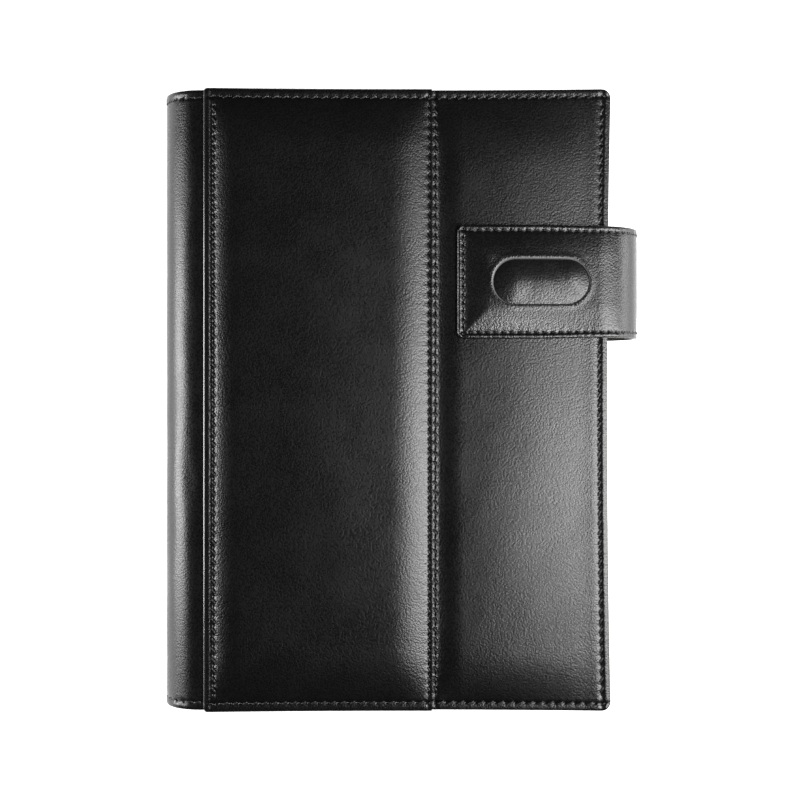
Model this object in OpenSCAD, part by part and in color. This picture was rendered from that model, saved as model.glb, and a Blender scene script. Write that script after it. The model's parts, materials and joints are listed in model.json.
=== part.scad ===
// Padded leather notebook cover, closed, lying on its back.
// +Z is up out of the front cover, +Y towards the head of the pages, the spine is at -X.

/* [Cover] */
// Height of the cover, head to tail
cover_h = 222; // [180:1:260]
// Overall width, spine to the outside of the strap
overall_w = 172; // [150:1:200]
// How far the strap stands out past the fore-edge
strap_reach = 12; // [8:0.5:13]
// Outer radius of the round spine
spine_r = 14; // [13.5:0.1:15]
// Radius of the fore-edge corners in plan
corner_r = 3.4; // [1:0.2:6]

/* [Leather and boards] */
// Thickness of the outer leather
leather_t = 1.2; // [0.8:0.1:1.4]
// Thickness of the stiff boards
board_t = 2.4; // [2:0.1:2.6]
// Thickness of the sheet lining
lining_t = 0.6; // [0.4:0.1:0.7]
// Width of the turned border that the boards sit inside
border_w = 4.2; // [3.6:0.2:6]
// Height of the foam pads under the front panels
pad_h = 2.2; // [1:0.1:2.4]

/* [Front panels] */
// Width of the left front panel, from the lapped edge to the seam
left_panel_w = 81.4; // [62:0.2:90]
// How far the left panel laps over the spine leather
lap_w = 8.8; // [7:0.2:10]

/* [Strap] */
// Width of the strap
strap_w = 40.4; // [30:0.2:50]
// Centre of the strap above the middle of the cover
strap_y = 41.9; // [20:0.1:60]
// Length of the tab that lies on the front, from its tip to the fore-edge curve
tab_l = 50; // [48:1:60]
// Length of the window in the tab
window_l = 35; // [25:1:36]
// Width of the window in the tab
window_w = 17; // [13:1:20]

/* [Notebook] */
// Width of the page block
page_w = 147; // [140:1:148]
// Height of the page block
page_h = 209; // [170:1:212]

/* [Stitching] */
// Distance from one stitch to the next on the cover
stitch_pitch = 3.5; // [3:0.1:5]
// Distance from one stitch to the next on the strap
strap_pitch = 2.9; // [2.5:0.1:4]

/* [Hidden] */
$fn = 96;

leather_black = "#1d1d1f";
lining_black = "#2b2b2e";
thread_black = "#101012";
foam_grey = "#6a6a6e";
board_grey = "#8c8478";
paper_white = "#f1ede2";
card_cream = "#cbbf9f";
steel = "#b9bcc0";

// Plan
lap_start = 1.2;
lap_gap = 0.5;
spine_x = -overall_w / 2 + spine_r;
edge_x = overall_w / 2 - strap_reach;
lap_x = spine_x + lap_start;
seam_x = lap_x + left_panel_w;
half_h = cover_h / 2;
lining_in = 0.8;
lining_half_h = half_h - lining_in;
board_x0 = lap_x + lap_w + lap_gap;

// Levels of the back, from the table up
back_board_z = leather_t;
back_lining_z = back_board_z + board_t;
back_top_z = back_lining_z + lining_t;
pocket_t = 0.8;
card_t = 0.8;
front_card_t = 0.6;
clear = 0.1;
back_card_z = back_top_z + clear;
pocket_z = back_card_z + card_t + clear;
pocket_x0 = 8;
pocket_seam = 3.2;
page_step = 1;
block_z = pocket_z + pocket_t + clear;

// Levels of the front, from its outer leather down
plate_z = 2 * spine_r;
plate_top_z = plate_z + leather_t;
front_board_z = plate_z - board_t;
front_lining_z = front_board_z - lining_t;
slip_t = 0.6;
slip_y1 = 40;
slip_in = 2;
slot_t = 0.5;
slip_z = front_lining_z - slip_t;
slot_stitch_t = 0.25;
slots = 3;
slot_clear = 0.45;
slots_z = slip_z - slots * slot_t;
front_card_z = slots_z - slot_stitch_t - slot_clear - front_card_t;
block_top_z = front_card_z;

// Page block
page_back = 5.5;
card_over = 0.4;
page_x0 = spine_x - page_back;
page_x1 = page_x0 + page_w;
card_half_h = page_h / 2 + 0.5;

// Spine and strap are half circles, each cut at the hinge lines
hinge_step = 60;
gap_deg = 0.6;
spine_lining_t = 0.8;
strap_leather_t = 1.1;
strap_lining_t = 0.7;
strap_t = strap_leather_t + strap_lining_t;
tab_clear = 0.3;
pad_top_z = plate_top_z + pad_h;
tab_z = pad_top_z + tab_clear;
tab_top_z = tab_z + strap_t;
strap_r = (tab_top_z - leather_t) / 2;
strap_cx = overall_w / 2 - strap_r;
strap_cz = leather_t + strap_r;
tab_x0 = strap_cx - tab_l;
tab_pad_h = 2;
tab_neck = 6;
anchor_x0 = 50;
anchor_play = 0.2;
window_x = 49.4;
magnet_l = 28;
magnet_w = 11;
magnet_t = 1.5;
pad_rim = 0.4;
pad_facets = 5;

// Stitching
stitch_l = 2.7;
strap_stitch_l = 2.2;
thread_w = 0.6;
thread_t = 0.3;
stitch_in = 2.8;
edge_stitch_in = 2;
lap_stitch_in = 4;
seam_stitch_in = 1.2;
row_end = 4.5;
row_y0 = -half_h + row_end;
row_y1 = half_h - row_end;
spine_stitch_step = 14;
strap_stitch_step = 10;
groove_w = 0.9;
stitch_angle = 8;

// Plain box between two corners
module box(x0, x1, y0, y1, z0, z1) {
    translate([x0, y0, z0]) cube([x1 - x0, y1 - y0, z1 - z0]);
}

// Sheet with two round corners on its fore-edge side
module sheet(x0, x1, y0, y1, z0, t, r) {
    translate([0, 0, z0]) linear_extrude(t) {
        translate([x0, y0]) square([x1 - x0 - r, y1 - y0]);
        translate([x1 - r - 0.01, y0 + r]) square([r + 0.01, y1 - y0 - 2 * r]);
        for (y = [y0 + r, y1 - r]) translate([x1 - r, y]) circle(r);
    }
}

// Section of a pad: a flat top that rolls down to a low rim in flat facets
module pad_section(width, h, rim, roll) {
    half = width / 2;
    slope = [for (i = [0 : pad_facets]) let (u = i / pad_facets)
        [half - roll * u, h - (h - rim) * (1 - u) * (1 - u)]];
    left = [for (i = [pad_facets : -1 : 0]) [-slope[i].x, slope[i].y]];
    polygon(concat([[half, 0]], slope, left, [[-half, 0]]));
}

// Pad where two such sections cross, grown all round by skin
module pillow(x0, x1, y0, y1, z0, h, roll_x, roll_y, skin = 0) {
    width = x1 - x0 + 2 * skin;
    length = y1 - y0 + 2 * skin;
    translate([(x0 + x1) / 2, (y0 + y1) / 2, z0]) intersection() {
        rotate([90, 0, 0]) linear_extrude(length, center = true)
            pad_section(width, h + skin, pad_rim + skin, roll_x + skin);
        rotate([90, 0, 90]) linear_extrude(width, center = true)
            pad_section(length, h + skin, pad_rim + skin, roll_y + skin);
    }
}

// Section of a curved band about the origin, from angle a0 to a1 measured from +X towards +Y
module band_section(a0, a1, r_out, t) {
    reach = 2 * r_out;
    intersection() {
        difference() {
            circle(r_out);
            circle(r_out - t);
        }
        polygon([[0, 0], reach * [cos(a0), sin(a0)], reach * [cos(a1), sin(a1)]]);
    }
}

// Part of the spine, from angle a0 to a1, where -90 is the table side and 90 the front.
// It runs on flat for length flat at its 90 degree end, or at its -90 degree end if flat is negative.
module spine_arc(a0, a1, r_out, t, half_len, flat = 0) {
    translate([spine_x, half_len, spine_r]) rotate([90, 0, 0]) linear_extrude(2 * half_len) {
        mirror([1, 0]) band_section(a0, a1, r_out, t);
        if (flat > 0) translate([0, r_out - t]) square([flat, t]);
        if (flat < 0) translate([0, -r_out]) square([-flat, t]);
    }
}

// The same for the strap's curve at the fore-edge
module strap_arc(a0, a1, r_out, t, flat = 0) {
    translate([strap_cx, strap_y1, strap_cz]) rotate([90, 0, 0]) linear_extrude(strap_w) {
        band_section(a0, a1, r_out, t);
        if (flat > 0) translate([-flat, r_out - t]) square([flat, t]);
        if (flat < 0) translate([flat, -r_out]) square([-flat, t]);
    }
}

// One stitch along X, centred, standing on z = 0
module stitch(l) {
    translate([-l / 2, -thread_w / 2, 0]) cube([l, thread_w, thread_t]);
}

// Row of stitches from x0 to x1
module row_x(x0, x1, y, z, pitch, l) {
    n = floor((x1 - x0) / pitch);
    for (i = [0 : n - 1]) translate([(x0 + x1) / 2 + (i - (n - 1) / 2) * pitch, y, z])
        rotate([0, 0, stitch_angle]) stitch(l);
}

// Row of stitches from y0 to y1
module row_y(x, y0, y1, z, pitch, l) {
    n = floor((y1 - y0) / pitch);
    for (i = [0 : n - 1]) translate([x, (y0 + y1) / 2 + (i - (n - 1) / 2) * pitch, z])
        rotate([0, 0, 90 + stitch_angle]) stitch(l);
}

// Stitches round both ends of the spine, lying on the leather
module spine_stitches(a0, a1) {
    color(thread_black) for (side = [-1, 1]) for (a = [a0 : spine_stitch_step : a1])
        translate([spine_x, side * (half_h - stitch_in), spine_r]) rotate([0, a - 90, 0])
            translate([0, 0, spine_r]) stitch(stitch_l);
}

// Stitches along both edges of the strap band, lying on the leather
module strap_stitches(a0, a1) {
    color(thread_black) for (side = [-1, 1]) for (a = [a0 : strap_stitch_step : a1])
        translate([strap_cx, strap_y + side * (strap_w / 2 - edge_stitch_in), strap_cz])
            rotate([0, 90 - a, 0]) translate([0, 0, strap_r]) stitch(strap_stitch_l);
}

module stadium(l, w, z0, z1) {
    translate([window_x, strap_y, z0]) linear_extrude(z1 - z0) {
        square([l - w, w], center = true);
        for (side = [-1, 1]) translate([side * (l - w) / 2, 0]) circle(w / 2);
    }
}

strap_y0 = strap_y - strap_w / 2;
strap_y1 = strap_y + strap_w / 2;

// Border, plate and grooves of the back leather, with its part of the spine curve
module back_leather() {
    groove_z = thread_t + 0.1;
    color(leather_black) difference() {
        union() {
            sheet(spine_x, edge_x, -half_h, half_h, 0, back_lining_z, corner_r);
            spine_arc(-90, -hinge_step - gap_deg, spine_r, leather_t, half_h, -lap_w);
        }
        box(spine_x - 1, edge_x - border_w, -half_h + border_w, half_h - border_w,
            leather_t, back_lining_z + 1);
        box(spine_x - 1, board_x0, -half_h - 1, half_h + 1, leather_t, back_lining_z + 1);
        box(anchor_x0, edge_x + 1, strap_y0, strap_y1, leather_t, back_lining_z + 1);
        for (side = [0, 1]) mirror([0, side, 0]) box(lap_x, edge_x - edge_stitch_in,
            half_h - stitch_in - groove_w / 2, half_h - stitch_in + groove_w / 2, -1, groove_z);
        box(edge_x - edge_stitch_in - groove_w / 2, edge_x - edge_stitch_in + groove_w / 2,
            -half_h + stitch_in, half_h - stitch_in, -1, groove_z);
    }
}

module back_board() {
    color(board_grey) difference() {
        box(board_x0, edge_x - border_w, -half_h + border_w, half_h - border_w,
            back_board_z, back_lining_z);
        box(anchor_x0 - anchor_play, edge_x, strap_y0 - anchor_play, strap_y1 + anchor_play,
            0, back_lining_z + 1);
    }
}

module back_lining() {
    color(lining_black)
        sheet(board_x0, edge_x - lining_in, -lining_half_h, lining_half_h, back_lining_z,
            lining_t, corner_r);
}

module spine_lining_back() {
    color(lining_black) spine_arc(-90, -hinge_step - gap_deg, spine_r - leather_t, spine_lining_t,
        lining_half_h, spine_x - board_x0);
}

// Pocket that the notebook's back card slides into, open towards the spine
module back_pocket() {
    color(lining_black) {
        sheet(pocket_x0, edge_x - lining_in, -lining_half_h, lining_half_h, pocket_z, pocket_t, corner_r);
        for (side = [0, 1]) mirror([0, side, 0])
            box(pocket_x0, edge_x - corner_r - lining_in, half_h - pocket_seam, lining_half_h,
                back_top_z, pocket_z);
        box(edge_x - pocket_seam, edge_x - lining_in, corner_r - lining_half_h, lining_half_h - corner_r,
            back_top_z, pocket_z);
    }
}

module back_stitching() {
    groove_top = 0.1;
    color(thread_black) {
        for (side = [-1, 1]) row_x(lap_x + row_end, edge_x - row_end, side * (half_h - stitch_in), groove_top,
            stitch_pitch, stitch_l);
        row_y(edge_x - edge_stitch_in, row_y0, row_y1, groove_top, stitch_pitch, stitch_l);
    }
}

module strap_anchor_leather() {
    color(leather_black)
        strap_arc(-90, -hinge_step - gap_deg, strap_r, strap_leather_t, anchor_x0 - strap_cx);
}

module strap_anchor_lining() {
    color(lining_black) strap_arc(-90, -hinge_step - gap_deg, strap_r - strap_leather_t,
        strap_lining_t, anchor_x0 - strap_cx);
}

module notebook_back_card() {
    color(card_cream) box(page_x0, page_x1 + card_over, -card_half_h, card_half_h,
        back_card_z, back_card_z + card_t);
}

// Pages, stepped where they ride up over the pocket
module page_block() {
    color(paper_white) {
        box(page_x0, page_x1, -page_h / 2, page_h / 2, block_z, block_top_z);
        box(page_x0, pocket_x0 - page_step, -page_h / 2, page_h / 2, back_card_z + card_t, block_z);
    }
}

module notebook_front_card() {
    color(card_cream) box(page_x0, page_x1 + card_over, -card_half_h, card_half_h,
        front_card_z, front_card_z + front_card_t);
}

module notebook_spine_card() {
    color(card_cream) box(page_x0 - front_card_t, page_x0, -card_half_h, card_half_h,
        back_card_z, front_card_z + front_card_t);
}

module spine_leather_lower() {
    color(leather_black) spine_arc(-hinge_step + gap_deg, -gap_deg, spine_r, leather_t, half_h);
}

module spine_lining_lower() {
    color(lining_black) spine_arc(-hinge_step + gap_deg, -gap_deg, spine_r - leather_t,
        spine_lining_t, lining_half_h);
}

module spine_stitching_lower() spine_stitches(-51, -9);

module spine_leather_upper() {
    color(leather_black) spine_arc(gap_deg, hinge_step - gap_deg, spine_r, leather_t, half_h);
}

module spine_lining_upper() {
    color(lining_black) spine_arc(gap_deg, hinge_step - gap_deg, spine_r - leather_t,
        spine_lining_t, lining_half_h);
}

module spine_stitching_upper() spine_stitches(9, 51);

// Spine leather that runs on under the left panel's lapped edge
module front_spine_leather() {
    color(leather_black) spine_arc(hinge_step + gap_deg, 90, spine_r, leather_t, half_h,
        board_x0 - lap_gap - spine_x);
}

module front_spine_lining() {
    color(lining_black) spine_arc(hinge_step + gap_deg, 90, spine_r - leather_t, spine_lining_t,
        lining_half_h, board_x0 - lap_gap - spine_x);
}

module front_board() {
    color(board_grey) difference() {
        box(board_x0, edge_x - border_w, -half_h + border_w, half_h - border_w,
            front_board_z, plate_z);
        stadium(magnet_l, magnet_w, plate_z - magnet_t, plate_z + 1);
    }
}

module front_lining() {
    color(lining_black)
        sheet(board_x0, edge_x - lining_in, -lining_half_h, lining_half_h, front_lining_z,
            lining_t, corner_r);
}

pad_in = 5.2;
fore_pad_in = 4.4;
lap_pad_in = 7;
seam_in = 3.2;
left_roll = 22;
right_roll = 18;
end_roll = 14;
pad_y = half_h - pad_in;
left_pad_x0 = lap_x + lap_pad_in;
left_pad_x1 = seam_x - seam_in;
right_pad_x0 = seam_x + seam_in;
right_pad_x1 = edge_x - fore_pad_in;

module front_left_foam() {
    color(foam_grey) pillow(left_pad_x0, left_pad_x1, -pad_y, pad_y, plate_z, pad_h, left_roll, end_roll);
}

module front_right_foam() {
    color(foam_grey)
        pillow(right_pad_x0, right_pad_x1, -pad_y, pad_y, plate_z, pad_h, right_roll, end_roll);
}

// Leather drawn over the foam, with a flat border for its stitching
module front_left_panel() {
    color(leather_black) difference() {
        union() {
            box(lap_x, seam_x, -half_h, half_h, plate_z, plate_top_z);
            box(board_x0, seam_x, -half_h, half_h, front_board_z, plate_z);
            pillow(left_pad_x0, left_pad_x1, -pad_y, pad_y, plate_z, pad_h, left_roll, end_roll,
                leather_t);
        }
        box(board_x0 - 1, seam_x + 1, -half_h + border_w, half_h - border_w, front_board_z - 1, plate_z);
        pillow(left_pad_x0, left_pad_x1, -pad_y, pad_y, plate_z, pad_h, left_roll, end_roll);
    }
}

module front_right_panel() {
    color(leather_black) difference() {
        union() {
            sheet(seam_x, edge_x, -half_h, half_h, front_board_z, plate_top_z - front_board_z, corner_r);
            pillow(right_pad_x0, right_pad_x1, -pad_y, pad_y, plate_z, pad_h, right_roll, end_roll,
                leather_t);
        }
        box(seam_x - 1, edge_x - border_w, -half_h + border_w, half_h - border_w,
            front_board_z - 1, plate_z);
        pillow(right_pad_x0, right_pad_x1, -pad_y, pad_y, plate_z, pad_h, right_roll, end_roll);
    }
}

// Row round head, tail and fore-edge of the front
module front_border_stitching() {
    color(thread_black) {
        for (side = [-1, 1]) row_x(lap_x + row_end + 1, edge_x - row_end, side * (half_h - stitch_in),
            plate_top_z, stitch_pitch, stitch_l);
        row_y(edge_x - edge_stitch_in, row_y0, row_y1, plate_top_z, stitch_pitch, stitch_l);
    }
}

// Two rows, one each side of the seam
module seam_stitching() {
    color(thread_black) for (side = [-1, 1])
        row_y(seam_x + side * seam_stitch_in, row_y0, row_y1, plate_top_z, stitch_pitch, stitch_l);
}

module lap_stitching() {
    color(thread_black)
        row_y(lap_x + lap_stitch_in, row_y0, row_y1, plate_top_z, stitch_pitch, stitch_l);
}

module cover_magnet() {
    color(steel) stadium(magnet_l, magnet_w, plate_z - magnet_t, plate_z);
}

// Pocket the width of the front, open at its top edge
module slip_pocket() {
    color(lining_black)
        sheet(board_x0 + slip_in, edge_x - lining_in, -lining_half_h, slip_y1, slip_z, slip_t, corner_r);
}

slot_x0 = -40;
slot_x1 = 52;
slot_y0 = -95;
slot_first_y = -5;
slot_drop = 14;
slot_pitch = 3;
slot_thread_l = 2.2;
slot_row_in = 1.6;
slot_row_end = 3;

// Card slots, each one lower and nearer the pages than the one before
module card_slot(i) {
    color(leather_black) box(slot_x0, slot_x1, slot_y0, slot_first_y - i * slot_drop,
        slip_z - (i + 1) * slot_t, slip_z - i * slot_t);
}

module card_slot_1() card_slot(0);

module card_slot_2() card_slot(1);

module card_slot_3() card_slot(2);

// One row down each side of the slots and one along their foot
module card_slot_stitching() {
    z = slots_z - slot_stitch_t;
    slot_last_y = slot_first_y - (slots - 1) * slot_drop;
    color(thread_black) {
        for (x = [slot_x0 + slot_row_in, slot_x1 - slot_row_in])
            for (y = [slot_y0 + slot_row_end : slot_pitch : slot_last_y - slot_row_end])
                box(x - thread_w / 2, x + thread_w / 2, y, y + slot_thread_l, z, z + slot_stitch_t);
        for (x = [slot_x0 + slot_row_end + slot_row_in : slot_pitch : slot_x1 - 2 * slot_row_end])
            box(x, x + slot_thread_l, slot_y0 + slot_row_in - thread_w / 2,
                slot_y0 + slot_row_in + thread_w / 2, z, z + slot_stitch_t);
    }
}

module strap_leather_lower() {
    color(leather_black)
        strap_arc(-hinge_step + gap_deg, -gap_deg, strap_r, strap_leather_t);
}

module strap_lining_lower() {
    color(lining_black) strap_arc(-hinge_step + gap_deg, -gap_deg, strap_r - strap_leather_t,
        strap_lining_t);
}

module strap_stitching_lower() strap_stitches(-50, -10);

module strap_leather_upper() {
    color(leather_black)
        strap_arc(gap_deg, hinge_step - gap_deg, strap_r, strap_leather_t);
}

module strap_lining_upper() {
    color(lining_black) strap_arc(gap_deg, hinge_step - gap_deg, strap_r - strap_leather_t,
        strap_lining_t);
}

module strap_stitching_upper() strap_stitches(10, 50);

tab_pad_in = 3.8;
tab_tip_r = 2.5;
tab_roll = 10;
tab_join = 1;
tab_leather_z = tab_z + strap_lining_t;

// Flat sheet of the tab with its two round tip corners
module tab_sheet(z0, t) {
    mirror([1, 0, 0]) sheet(tab_join - strap_cx, -tab_x0, strap_y0, strap_y1, z0, t, tab_tip_r);
}

module tab_pillow(skin) {
    pillow(tab_x0 + tab_pad_in, strap_cx - tab_join / 2, strap_y0 + tab_pad_in, strap_y1 - tab_pad_in,
        tab_leather_z, tab_pad_h, tab_roll, tab_roll, skin);
}

// Padded leather of the tab, with the window cut through it
module strap_tab_leather() {
    color(leather_black) difference() {
        union() {
            tab_sheet(tab_leather_z, strap_leather_t);
            tab_pillow(strap_leather_t);
            strap_arc(hinge_step + gap_deg, 90, strap_r, strap_leather_t, tab_neck);
        }
        tab_pillow(0);
        stadium(window_l, window_w, tab_z, tab_top_z + 2 * tab_pad_h);
    }
}

module strap_tab_lining() {
    color(lining_black) {
        tab_sheet(tab_z, strap_lining_t);
        strap_arc(hinge_step + gap_deg, 90, strap_r - strap_leather_t, strap_lining_t, tab_neck);
    }
}

module strap_tab_foam() {
    color(foam_grey) difference() {
        tab_pillow(0);
        stadium(window_l, window_w, tab_z, tab_top_z + 2 * tab_pad_h);
    }
}

// Puffed leather plug that fills the window, over the magnet
module window_insert() {
    crown = 3.6;
    play = 0.25;
    arch = 30;
    top = tab_leather_z + crown;
    color(leather_black) difference() {
        intersection() {
            stadium(window_l - 2 * play, window_w - 2 * play, tab_leather_z, top);
            translate([window_x, strap_y, top - arch]) rotate([0, 90, 0])
                cylinder(r = arch, h = window_l, center = true, $fn = 360);
        }
        stadium(magnet_l, magnet_w, tab_leather_z - 1, tab_leather_z + magnet_t);
    }
}

module strap_magnet() {
    color(steel) stadium(magnet_l, magnet_w, tab_leather_z, tab_leather_z + magnet_t);
}

module strap_tab_stitching() {
    inset = edge_stitch_in;
    tip_row_end = 3.4;
    side_row_end = 2.6;
    color(thread_black) {
        for (y = [strap_y0 + inset, strap_y1 - inset]) row_x(tab_x0 + side_row_end,
            strap_cx - tab_join / 2, y, tab_top_z, strap_pitch, strap_stitch_l);
        row_y(tab_x0 + inset, strap_y0 + tip_row_end, strap_y1 - tip_row_end, tab_top_z,
            strap_pitch, strap_stitch_l);
    }
}

back_leather();
back_board();
back_lining();
spine_lining_back();
back_pocket();
back_stitching();
strap_anchor_leather();
strap_anchor_lining();
notebook_back_card();
page_block();
notebook_front_card();
notebook_spine_card();
spine_leather_lower();
spine_lining_lower();
spine_stitching_lower();
spine_leather_upper();
spine_lining_upper();
spine_stitching_upper();
front_spine_leather();
front_spine_lining();
front_board();
front_lining();
front_left_foam();
front_right_foam();
front_left_panel();
front_right_panel();
front_border_stitching();
seam_stitching();
lap_stitching();
cover_magnet();
slip_pocket();
card_slot_1();
card_slot_2();
card_slot_3();
card_slot_stitching();
strap_leather_lower();
strap_lining_lower();
strap_stitching_lower();
strap_leather_upper();
strap_lining_upper();
strap_stitching_upper();
strap_tab_leather();
strap_tab_lining();
strap_tab_foam();
window_insert();
strap_magnet();
strap_tab_stitching();
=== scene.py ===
import bmesh
import bpy
import json
import math
import numpy as np
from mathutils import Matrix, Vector, noise


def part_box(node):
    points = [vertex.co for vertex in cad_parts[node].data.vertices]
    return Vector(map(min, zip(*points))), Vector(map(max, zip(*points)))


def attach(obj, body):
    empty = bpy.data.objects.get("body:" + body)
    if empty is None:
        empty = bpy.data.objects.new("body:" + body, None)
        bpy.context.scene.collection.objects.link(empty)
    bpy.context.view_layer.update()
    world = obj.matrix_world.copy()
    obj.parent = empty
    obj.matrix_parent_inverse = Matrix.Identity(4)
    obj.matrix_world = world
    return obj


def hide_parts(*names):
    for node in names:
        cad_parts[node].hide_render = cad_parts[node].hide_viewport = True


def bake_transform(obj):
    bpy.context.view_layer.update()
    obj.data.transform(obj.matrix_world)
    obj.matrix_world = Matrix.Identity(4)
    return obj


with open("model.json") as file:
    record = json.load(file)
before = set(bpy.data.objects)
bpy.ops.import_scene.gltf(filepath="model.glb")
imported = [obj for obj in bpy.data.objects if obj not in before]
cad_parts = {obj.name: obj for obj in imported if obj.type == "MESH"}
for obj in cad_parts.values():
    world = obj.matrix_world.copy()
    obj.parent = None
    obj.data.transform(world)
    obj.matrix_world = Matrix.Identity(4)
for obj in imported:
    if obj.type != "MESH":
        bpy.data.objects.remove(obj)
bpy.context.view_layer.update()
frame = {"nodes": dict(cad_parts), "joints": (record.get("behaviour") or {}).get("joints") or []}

MM = 0.001
SCENE = bpy.context.scene

# ---------------- places, from the frame

left_low, left_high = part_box("front_left_panel")
right_low, right_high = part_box("front_right_panel")
front_lining_low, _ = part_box("front_lining")
back_lining_low, back_lining_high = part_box("back_lining")
lap_row_low, lap_row_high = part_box("lap_stitching")
tab_low, tab_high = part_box("strap_tab_leather")
_, tab_lining_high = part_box("strap_tab_lining")
insert_low, insert_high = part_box("window_insert")
slip_low, slip_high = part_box("slip_pocket")
pocket_low, pocket_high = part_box("back_pocket")
slot_boxes = [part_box(f"card_slot_{number}") for number in (1, 2, 3)]
joint_at = {j["name"]: Vector(j["pos_m"]) for j in frame["joints"]}

# The spine is a half circle through its three hinge lines, and so is the strap's band
SPINE_R = joint_at["spine_bend_middle"].z
SPINE_X = joint_at["spine_bend_middle"].x + SPINE_R
STRAP_R = (joint_at["strap_bend_tab"] - joint_at["strap_bend_middle"]).length
STRAP_X = joint_at["strap_bend_middle"].x - STRAP_R
STRAP_Z = joint_at["strap_bend_middle"].z

HALF_H = left_high.y
LAP_X = left_low.x
SEAM_X = left_high.x + 0.4 * MM
EDGE_X = right_high.x
LEATHER_T = 1.2 * MM
PLATE_Z = SPINE_R * 2
PLATE_TOP = PLATE_Z + LEATHER_T
BORDER_Z = right_low.z
BOARD_X = front_lining_low.x
LINING_T = 0.8 * MM
STRAP_LEATHER_T = 1.1 * MM
STRAP_LINING_T = 0.7 * MM
STRAP_Y = (tab_low.y + tab_high.y) / 2
HALF_W = (tab_high.y - tab_low.y) / 2
WINDOW_X = (insert_low.x + insert_high.x) / 2
WINDOW_L = insert_high.x - insert_low.x + 0.5 * MM
WINDOW_W = insert_high.y - insert_low.y + 0.5 * MM

# Stitch rows, in from the edges
ROW_Y = HALF_H - 2.8 * MM
ROW_EDGE_X = EDGE_X - 3.1 * MM
ROW_LAP_X = (lap_row_low.x + lap_row_high.x) / 2
ROW_SEAM = 1.2 * MM
PITCH = 3.5 * MM
STRAP_PITCH = 2.9 * MM
ROW_STRAP = 2.1 * MM

# ---------------- materials


def new_material(name, color, roughness, specular=0.5):
    mat = bpy.data.materials.new(name)
    mat.use_nodes = True
    tree = mat.node_tree
    shader = tree.nodes["Principled BSDF"]
    shader.inputs["Base Color"].default_value = (*color, 1)
    shader.inputs["Roughness"].default_value = roughness
    shader.inputs["Specular IOR Level"].default_value = specular
    return mat, tree, shader


def add(tree, kind, **settings):
    node = tree.nodes.new(kind)
    for key, value in settings.items():
        if key in node.inputs:
            node.inputs[key].default_value = value
        else:
            setattr(node, key, value)
    return node


def place(tree, scale=(1, 1, 1)):
    """The object's own coordinates, stretched by scale."""
    coord = add(tree, "ShaderNodeTexCoord")
    mapping = add(tree, "ShaderNodeMapping", Scale=scale)
    tree.links.new(coord.outputs["Object"], mapping.inputs["Vector"])
    return mapping.outputs["Vector"]


def texture(tree, vector, kind="Noise", output="Fac", **settings):
    node = add(tree, "ShaderNodeTex" + kind, **settings)
    tree.links.new(vector, node.inputs["Vector"])
    return node.outputs[output]


def ramp(tree, value, low, high, from_min=0.0, from_max=1.0):
    node = add(tree, "ShaderNodeMapRange", **{"From Min": from_min, "From Max": from_max,
                                              "To Min": low, "To Max": high})
    tree.links.new(value, node.inputs["Value"])
    return node.outputs["Result"]


def bump_chain(tree, shader, *layers):
    """Each layer is (height output, distance in metres, strength)."""
    normal = None
    for height, distance, strength in layers:
        bump = add(tree, "ShaderNodeBump", Distance=distance, Strength=strength)
        tree.links.new(height, bump.inputs["Height"])
        if normal is not None:
            tree.links.new(normal, bump.inputs["Normal"])
        normal = bump.outputs["Normal"]
    tree.links.new(normal, shader.inputs["Normal"])


def tint(tree, shader, value, dark, light):
    """Colours the piece from dark to light with value."""
    node = add(tree, "ShaderNodeValToRGB")
    for element, colour in zip(node.color_ramp.elements, (dark, light)):
        element.color = (*colour, 1)
    tree.links.new(value, node.inputs["Fac"])
    tree.links.new(node.outputs["Color"], shader.inputs["Base Color"])


def leather_material(name, tone=0.002, roughness=0.25, grain=1.0):
    """Black finished calf: fine pebble grain, pores, and a slightly uneven polish."""
    mat, tree, shader = new_material(name, (tone, tone, tone * 1.04), roughness)
    vector = place(tree)
    pebble = texture(tree, vector, "Voronoi", "Distance", Scale=1500.0, Randomness=1.0)
    fine = texture(tree, vector, Scale=2600.0, Detail=3.0, Roughness=0.6)
    crease = texture(tree, vector, Scale=420.0, Detail=4.0, Roughness=0.55)
    polish = texture(tree, vector, Scale=70.0, Detail=3.0)
    bump_chain(tree, shader, (crease, 0.00012, 0.07 * grain), (pebble, 0.00010, 0.60 * grain),
               (fine, 0.00006, 0.45 * grain))
    wear = ramp(tree, polish, -0.02, 0.03, 0.3, 0.7)
    burnish = ramp(tree, pebble, roughness - 0.06, roughness + 0.07, 0.1, 0.6)
    rough = add(tree, "ShaderNodeMath", operation="ADD")
    tree.links.new(wear, rough.inputs[0])
    tree.links.new(burnish, rough.inputs[1])
    tree.links.new(rough.outputs["Value"], shader.inputs["Roughness"])
    tint(tree, shader, crease, (tone * 0.75, tone * 0.75, tone * 0.78),
         (tone * 1.35, tone * 1.33, tone * 1.36))
    return mat


def suede_material(name, tone=0.010):
    mat, tree, shader = new_material(name, (tone, tone, tone), 0.85, 0.25)
    shader.inputs["Sheen Weight"].default_value = 0.08
    shader.inputs["Sheen Roughness"].default_value = 0.5
    vector = place(tree)
    nap = texture(tree, vector, Scale=2200.0, Detail=4.0, Roughness=0.7)
    cloud = texture(tree, vector, Scale=90.0, Detail=3.0)
    bump_chain(tree, shader, (nap, 0.00012, 0.6))
    tint(tree, shader, cloud, (tone * 0.7, tone * 0.7, tone * 0.72), (tone * 1.5,) * 3)
    return mat


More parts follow.
